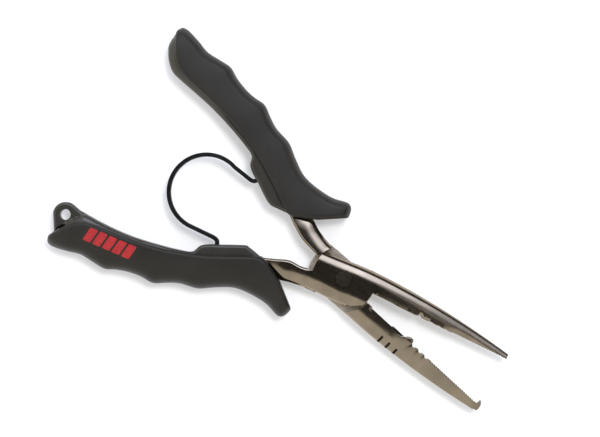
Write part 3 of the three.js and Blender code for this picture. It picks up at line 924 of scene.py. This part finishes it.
def bend(start, corner, end, count=12):
    """A quadratic curve between two straight runs."""
    t = np.linspace(0, 1, count)[:, None]
    return (1 - t) ** 2 * start + 2 * t * (1 - t) * corner + t * t * end


def spring_path():
    """The middle of the spring strip, from the seat in the upper handle to the one in the lower."""
    x, y = SPRING_SEAT
    upper, lower = UPPER_HANDLE_ANGLE + HALF_OPENING, LOWER_HANDLE_ANGLE + HALF_OPENING
    loop = arc(SPRING_LOOP_CENTRE, SPRING_LOOP_RADIUS, 76, 278)
    legs = []
    for degrees, side, loop_end in ((upper, -1, loop[0]), (lower, 1, loop[-1])):
        foot = from_handle((x, y - SPRING_SEAT_DEPTH), degrees, side)
        corner = from_handle((x, y + 1.4), degrees, side)
        before, after = corner + 0.3 * (foot - corner), corner + 0.2 * (loop_end - corner)
        legs.append([foot, *bend(before, corner, after)])
    path = np.vstack([legs[0], loop, legs[1][::-1]])
    length = np.concatenate([[0], np.cumsum(np.linalg.norm(np.diff(path, axis=0), axis=1))])
    even = np.linspace(0, length[-1], 260)
    return np.column_stack([np.interp(even, length, side) for side in path.T])


def strip_section(half_thickness, half_height, radius, steps=4):
    """A rounded rectangle as (across, z)."""
    section = []
    for quarter, (sx, sz) in enumerate(((1, 1), (-1, 1), (-1, -1), (1, -1))):
        centre = (sx * (half_thickness - radius), sz * (half_height - radius))
        section += list(arc(centre, radius, 90 * quarter, 90 * quarter + 90, radius * math.pi / 2 / steps))
    return section


def strip(name, path, along):
    """A closed length of the spring strip along part of its path."""
    section = strip_section(SPRING_THICKNESS / 2, SPRING_HEIGHT / 2, 0.3)
    count, last = len(section), (len(path) - 1) * len(section)
    vertices = [(px - ty * s, py + tx * s, z)
                for (px, py), (tx, ty) in zip(path, along) for s, z in section]
    faces = [(r + k, r + count + k, r + count + (k + 1) % count, r + (k + 1) % count)
             for r in range(0, last, count) for k in range(count)]
    caps = [list(range(count)), [last + k for k in range(count)][::-1]]
    made = piece(name, (vertices, caps + faces))
    made.data.transform(PIVOT_MATRIX)
    smoothed(made.data, 50)
    return made


def return_spring(material):
    """The strip cut into lengths, from its foot in one handle to its foot in the other."""
    path = spring_path()
    along = np.gradient(path, axis=0)
    step = np.linalg.norm(along, axis=1)
    along /= step[:, None]
    foot = round(SPRING_SEAT_DEPTH / step[1])
    end_point = len(path) - 1
    cuts = [0, *np.linspace(foot, end_point - foot, SPRING_SPANS + 1).round().astype(int), end_point]
    for k, (first, last) in enumerate(zip(cuts[:-1], cuts[1:])):
        made = strip(f"return_spring_{k + 1}", path[first:last + 1], along[first:last + 1])
        made.data.materials.append(material)
        chord = path[last] - path[first]
        if k == 0:
            start, end = path[last], path[last] + chord
        elif k == SPRING_SPANS + 1:
            start, end = path[first] - chord, path[first]
        else:
            start = path[first] - (k - 1) * chord
            end = start + SPRING_SPANS * chord
        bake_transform(made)
        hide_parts("return_spring")


# ---------------- materials


def feed(node, inputs):
    """Gives a node its inputs, each a number, a colour or another node's output."""
    for key, value in inputs.items():
        if isinstance(value, bpy.types.NodeSocket):
            node.id_data.links.new(value, node.inputs[key])
        else:
            node.inputs[key].default_value = value


def add(tree, kind, inputs=(), **settings):
    """A new shader node with its settings and inputs."""
    made = tree.nodes.new("ShaderNode" + kind)
    for key, value in settings.items():
        setattr(made, key, value)
    feed(made, dict(inputs))
    return made


def maths(tree, operation, first, second):
    """One value from two, such as their sum or product."""
    return add(tree, "Math", {0: first, 1: second}, operation=operation).outputs[0]


def new_material(name):
    """A material with its node tree, its main shader and object coordinates in millimetres."""
    material = bpy.data.materials.new(name)
    material.use_nodes = True
    tree = material.node_tree
    shader = tree.nodes["Principled BSDF"]
    position = add(tree, "TexCoord").outputs["Object"]
    in_mm = add(tree, "VectorMath", {0: position, 1: (1000, 1000, 1000)}, operation="MULTIPLY").outputs[0]
    return material, tree, shader, in_mm


def noise(tree, where, scale, detail=4.0, stretch=None, turn=0.0):
    """Noise of a given scale per millimetre; stretch squeezes the coordinates for streaks."""
    if stretch:
        mapping = {"Vector": where, "Scale": stretch, "Rotation": (0, 0, turn)}
        where = add(tree, "Mapping", mapping).outputs[0]
    return add(tree, "TexNoise", {"Vector": where, "Scale": scale, "Detail": detail}).outputs["Fac"]


def blended(tree, factor, first, second):
    """Two colours mixed by a factor, each a tuple or a node's output."""
    sides = {6: first, 7: second}
    colours = {key: (*side, 1) if isinstance(side, tuple) else side for key, side in sides.items()}
    return add(tree, "Mix", {"Factor": factor, **colours}, data_type="RGBA").outputs[2]


def ramp(tree, factor, low, high, dark, light):
    """Two values, or two colours, mixed by a factor that runs from low to high."""
    limits = {"Value": factor, "From Min": low, "From Max": high}
    is_colour = isinstance(dark, tuple)
    if not is_colour:
        limits.update({"To Min": dark, "To Max": light})
    made = add(tree, "MapRange", limits, interpolation_type="SMOOTHSTEP").outputs[0]
    return blended(tree, made, dark, light) if is_colour else made


def mottled(tree, pattern, dark, light):
    """Two values or colours mixed by a noise pattern, over the range that noise mostly keeps to."""
    return ramp(tree, pattern, 0.3, 0.7, dark, light)


def tinted(tint, factor):
    """A colour made lighter or darker."""
    return tuple(factor * c for c in tint)


def bump(tree, shader, height, strength, depth):
    """Surface relief on a shader, depth in millimetres."""
    made = add(tree, "Bump", {"Height": height, "Strength": strength, "Distance": depth * MM})
    feed(shader, {"Normal": made.outputs[0]})


def polished_steel(name, tint, rough, turn=0.0):
    """Dark nickel plating over polished steel: faint polishing streaks, worn bright at the edges."""
    material, tree, shader, where = new_material(name)
    cloud = noise(tree, where, 0.09, 3)
    streak = noise(tree, where, 1.0, 5, (0.12, 2.6, 2.6), turn)
    speck = noise(tree, where, 3.5, 3)
    edge = add(tree, "NewGeometry").outputs["Pointiness"]
    worn = ramp(tree, edge, 0.53, 0.62, 0.0, 0.55)
    colour = mottled(tree, cloud, tinted(tint, 0.86), tinted(tint, 1.1))
    streaky = ramp(tree, streak, 0.3, 0.75, rough * 0.75, rough * 1.35)
    feed(shader, {
        "Base Color": blended(tree, worn, colour, (0.52, 0.47, 0.41)),
        "Roughness": maths(tree, "ADD", streaky, ramp(tree, speck, 0.5, 0.8, 0.0, 0.05)),
        "Metallic": 1.0,
    })
    bump(tree, shader, streak, 0.06, 0.02)
    return material


def ground_steel(tint):
    """The laps' sliding faces: dull, with crossed grinding marks."""
    material, tree, shader, where = new_material("ground_lap_steel")
    one, other = (noise(tree, where, 1.0, 3, (0.25, 4.0, 1.0), turn) for turn in (0.7, -0.8))
    marks = maths(tree, "ADD", one, other)
    feed(shader, {
        "Base Color": ramp(tree, marks, 0.7, 1.3, tinted(tint, 0.8), tinted(tint, 1.25)),
        "Roughness": ramp(tree, marks, 0.7, 1.3, 0.5, 0.68),
        "Metallic": 1.0,
    })
    bump(tree, shader, marks, 0.35, 0.05)
    return material


def spring_coating():
    """Black oxide on spring strip, a little mottled."""
    material, tree, shader, where = new_material("black_spring_steel")
    cloud = noise(tree, where, 0.5)
    feed(shader, {
        "Base Color": mottled(tree, cloud, (0.004, 0.0039, 0.0038), (0.008, 0.0077, 0.0073)),
        "Roughness": mottled(tree, cloud, 0.3, 0.42),
        "Specular IOR Level": 0.2,
    })
    bump(tree, shader, noise(tree, where, 6.0, 3), 0.1, 0.02)
    return material


def hard_plastic():
    """Smooth moulded core, faintly mottled, with a satin surface."""
    material, tree, shader, where = new_material("hard_core_plastic")
    cloud, fine = noise(tree, where, 0.12, 3), noise(tree, where, 5.0)
    feed(shader, {
        "Base Color": mottled(tree, cloud, (0.009, 0.0078, 0.0056), (0.014, 0.012, 0.0082)),
        "Roughness": mottled(tree, fine, 0.3, 0.4),
        "Specular IOR Level": 1.0,
        "Specular Tint": (1.0, 0.94, 0.82, 1.0),
    })
    bump(tree, shader, fine, 0.12, 0.03)
    return material


def soft_rubber():
    """Matte grip rubber with a fine moulded grain and slightly shinier worn patches."""
    material, tree, shader, where = new_material("soft_grip_rubber")
    cloud, fine = noise(tree, where, 0.07, 3), noise(tree, where, 7.0)
    cells = add(tree, "TexVoronoi", {"Vector": where, "Scale": 2.6}).outputs["Distance"]
    feed(shader, {
        "Base Color": mottled(tree, cloud, (0.0075, 0.0067, 0.0055), (0.0112, 0.010, 0.0083)),
        "Roughness": mottled(tree, cloud, 0.42, 0.5),
        "Specular Tint": (1.0, 0.92, 0.8, 1.0),
    })
    bump(tree, shader, maths(tree, "ADD", cells, fine), 0.4, 0.08)
    return material


def red_print():
    """Red paint, slightly uneven in colour and gloss."""
    material, tree, shader, where = new_material("red_mark_paint")
    cloud, fine = noise(tree, where, 0.8), noise(tree, where, 5.0)
    feed(shader, {
        "Base Color": mottled(tree, cloud, (0.29, 0.010, 0.012), (0.38, 0.018, 0.018)),
        "Roughness": mottled(tree, fine, 0.42, 0.55),
    })
    bump(tree, shader, fine, 0.12, 0.03)
    return material


# ---------------- the red mark on the lower grip

MARK_START = np.array([-119.6, 0.8])  # handle frame: rear end of the mark's middle line
MARK_END = np.array([-96.4, -4.8])
MARK_BARS = 5
MARK_WIDTH = 6.6
MARK_SLANT = 0.7
MARK_PROUD = 0.05  # above the grip's face
MARK_DEPTH = 0.4  # below it


def sheet(outline, surface, proud, depth):
    """A thin closed sheet that follows a surface and stands a little proud of it."""
    closed = round_trip(outline)
    points, faces = triangles_of([closed], flat_points(outline, 0.3, 0.6))
    faces = faces[within(outline, points[faces].mean(1))]
    heights = surface(points)
    count = len(points)
    vertices = [(*p, z + proud) for p, z in zip(points, heights)]
    vertices += [(*p, z - depth) for p, z in zip(points, heights)]
    walls = [(a + count, b + count, b, a) for a, b in rim_of(faces)]
    return vertices, [*map(tuple, faces), *map(tuple, faces[:, ::-1] + count), *walls]


def mark_bar(k):
    """The k-th of the mark's bars, as a thin solid."""
    along = (MARK_END - MARK_START) / MARK_BARS
    unit = along / np.linalg.norm(along)
    rise = np.array([-unit[1], unit[0]]) * MARK_WIDTH / 2 + unit * MARK_SLANT
    near, far = MARK_START + along * (k + 0.1), MARK_START + along * (k + 0.9)
    corners = [near - rise, far - rise, far + rise, near + rise, near - rise]
    return sheet(softened(spaced(corners, 0.3)[:-1], 3), grip_height, MARK_PROUD, MARK_DEPTH)


def red_mark(material):
    """A plain row of slanted bars on the grip's face."""
    vertices, faces = [], []
    for bar_vertices, bar_faces in map(mark_bar, range(MARK_BARS)):
        first = len(vertices)
        vertices += bar_vertices
        faces += [tuple(int(i) + first for i in face) for face in bar_faces]
    made = piece("red_mark", (vertices, faces))
    made.data.materials.append(material)
    made.data.transform(place(LOWER_HANDLE_ANGLE))
    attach(made, "upper_jaw_side")


# ---------------- camera, floor and light

VIEW_CENTRE = Vector((-0.0321, 0.0115))  # the point in the middle of the picture
VIEW_TURN = 34.4  # degrees from +X to the picture's right
VIEW_WIDTH = 0.276  # across the picture at the joint's height
VIEW_DISTANCE = 0.77
SENSOR = 36.0
FLOOR_SIZE = 12.0
FLOOR_CLEARANCE = 0.0002  # between the floor and the lowest point of the pliers


def camera():
    made = linked("camera", bpy.data.cameras.new("camera"))
    made.data.sensor_width = SENSOR
    made.data.lens = SENSOR * VIEW_DISTANCE / VIEW_WIDTH
    made.location = (*VIEW_CENTRE, PIVOT.z + VIEW_DISTANCE)
    made.rotation_euler = (0, 0, math.radians(VIEW_TURN))
    bpy.context.scene.camera = made


def picture_direction(right, up, high):
    """A direction given along the picture's right, its up, and out of the floor."""
    flat = Matrix.Rotation(math.radians(VIEW_TURN), 3, "Z") @ Vector((right, up, 0))
    return Vector((flat.x, flat.y, high)).normalized()


def floor():
    """A large pale ground plane just under the pliers. It glows faintly: painted light that keeps the
    shadows and shade on it pale.
    """
    half, low = FLOOR_SIZE / 2, CAD_BOX[0][2] - FLOOR_CLEARANCE
    corners = [(x, y, low) for x, y in rectangle(-half, half, -half, half)]
    made = piece("floor", (corners, [(0, 1, 2, 3)]))
    material, tree, shader, where = new_material("pale_glowing_floor")
    feed(shader, {
        "Base Color": mottled(tree, noise(tree, where, 0.05, 3), (0.59, 0.59, 0.59), (0.61, 0.61, 0.61)),
        "Roughness": 0.9,
        "Specular IOR Level": 0.1,
        # painted light: the floor's own faint glow lightens the shadows cast on it
        "Emission Color": (1, 1, 1, 1),
        "Emission Strength": 0.35,
    })
    made.data.materials.append(material)


def lamp(name, direction, distance, size, strength):
    """A square soft box that faces the pliers."""
    light = bpy.data.lights.new(name, "AREA")
    light.size = size
    light.energy = strength
    made = linked(name, light)
    made.location = Vector((*VIEW_CENTRE, PIVOT.z)) + direction * distance
    made.rotation_euler = direction.to_track_quat("Z", "Y").to_euler()
    made.visible_glossy = False


def toward(tree, where, middle, edge_in, edge_out):
    """1 within edge_in degrees of a direction, falling to 0 at edge_out."""
    near = add(tree, "VectorMath", {0: where, 1: tuple(middle)}, operation="DOT_PRODUCT").outputs["Value"]
    return ramp(tree, near, math.cos(math.radians(edge_out)), math.cos(math.radians(edge_in)), 0.0, 1.0)


def between(tree, height, *degrees):
    """1 between the middle two of four angles from overhead, 0 outside the outer two."""
    a, b, c, d = (math.cos(math.radians(angle)) for angle in degrees)
    return maths(tree, "MULTIPLY", ramp(tree, height, d, c, 0.0, 1.0), ramp(tree, height, b, a, 1.0, 0.0))


def sky():
    """A pale studio with a dark ceiling and a long soft box over a dark wall, brightest at the top."""
    world = bpy.data.worlds.new("studio")
    bpy.context.scene.world = world
    world.use_nodes = True
    tree = world.node_tree
    direction = add(tree, "TexCoord").outputs["Generated"]
    height = add(tree, "SeparateXYZ", {0: direction}).outputs["Z"]
    level = add(tree, "VectorMath", {0: direction, 1: (1, 1, 0)}, operation="MULTIPLY").outputs[0]
    level = add(tree, "VectorMath", {0: level}, operation="NORMALIZE").outputs[0]

    def band(polar, middle, edge_in, edge_out):
        """A patch of the surroundings between angles from overhead, round a level direction."""
        near = toward(tree, level, middle, edge_in, edge_out)
        return maths(tree, "MULTIPLY", between(tree, height, *polar), near)

    top_right = picture_direction(0.72, 0.69, 0.0)
    ceiling = toward(tree, direction, picture_direction(-0.05, 0.04, 1.0), 14, 22)
    wall = band((10, 24, 76, 84), top_right, 62, 84)
    box = band((16, 33, 41, 49), top_right, 42, 62)
    bright = band((12, 27, 48, 58), picture_direction(0.14, 0.99, 0.0), 24, 44)
    dark = maths(tree, "MAXIMUM", ceiling, wall)
    room = ramp(tree, dark, 0.0, 1.0, (0.91, 0.91, 0.91), (0.045, 0.045, 0.047))
    boxed = blended(tree, box, room, (0.85, 0.92, 1.15))
    feed(tree.nodes["Background"], {"Color": blended(tree, bright, boxed, (2.8, 3.1, 4.0))})


def studio():
    scene = bpy.context.scene
    scene.view_settings.view_transform = "Standard"
    camera()
    floor()
    sky()
    lamp("key", picture_direction(0.23, 0.24, 1.0), 1.6, 0.42, 17.0)


# ---------------- the pliers


def pliers():
    steel = polished_steel("dark_nickel_steel", (0.30, 0.246, 0.177), 0.14)
    ground = ground_steel((0.56, 0.48, 0.38))
    handles = (hard_plastic(), soft_rubber())
    upper_jaw_half([steel, ground])
    lower_jaw_half([steel, ground])
    pivot_rivet(polished_steel("dark_nickel_rivet", (0.25, 0.205, 0.15), 0.2, 0.6))
    handle("lower", "upper_jaw_side", lower_core_high, (lower_tang_low, lower_tang_high),
           place(LOWER_HANDLE_ANGLE), True, handles)
    handle("upper", "lower_jaw_side", upper_core_high, (upper_tang_low, upper_tang_high),
           place(UPPER_HANDLE_ANGLE, other_side=True), False, handles)
    return_spring(spring_coating())
    red_mark(red_print())


studio()
pliers()
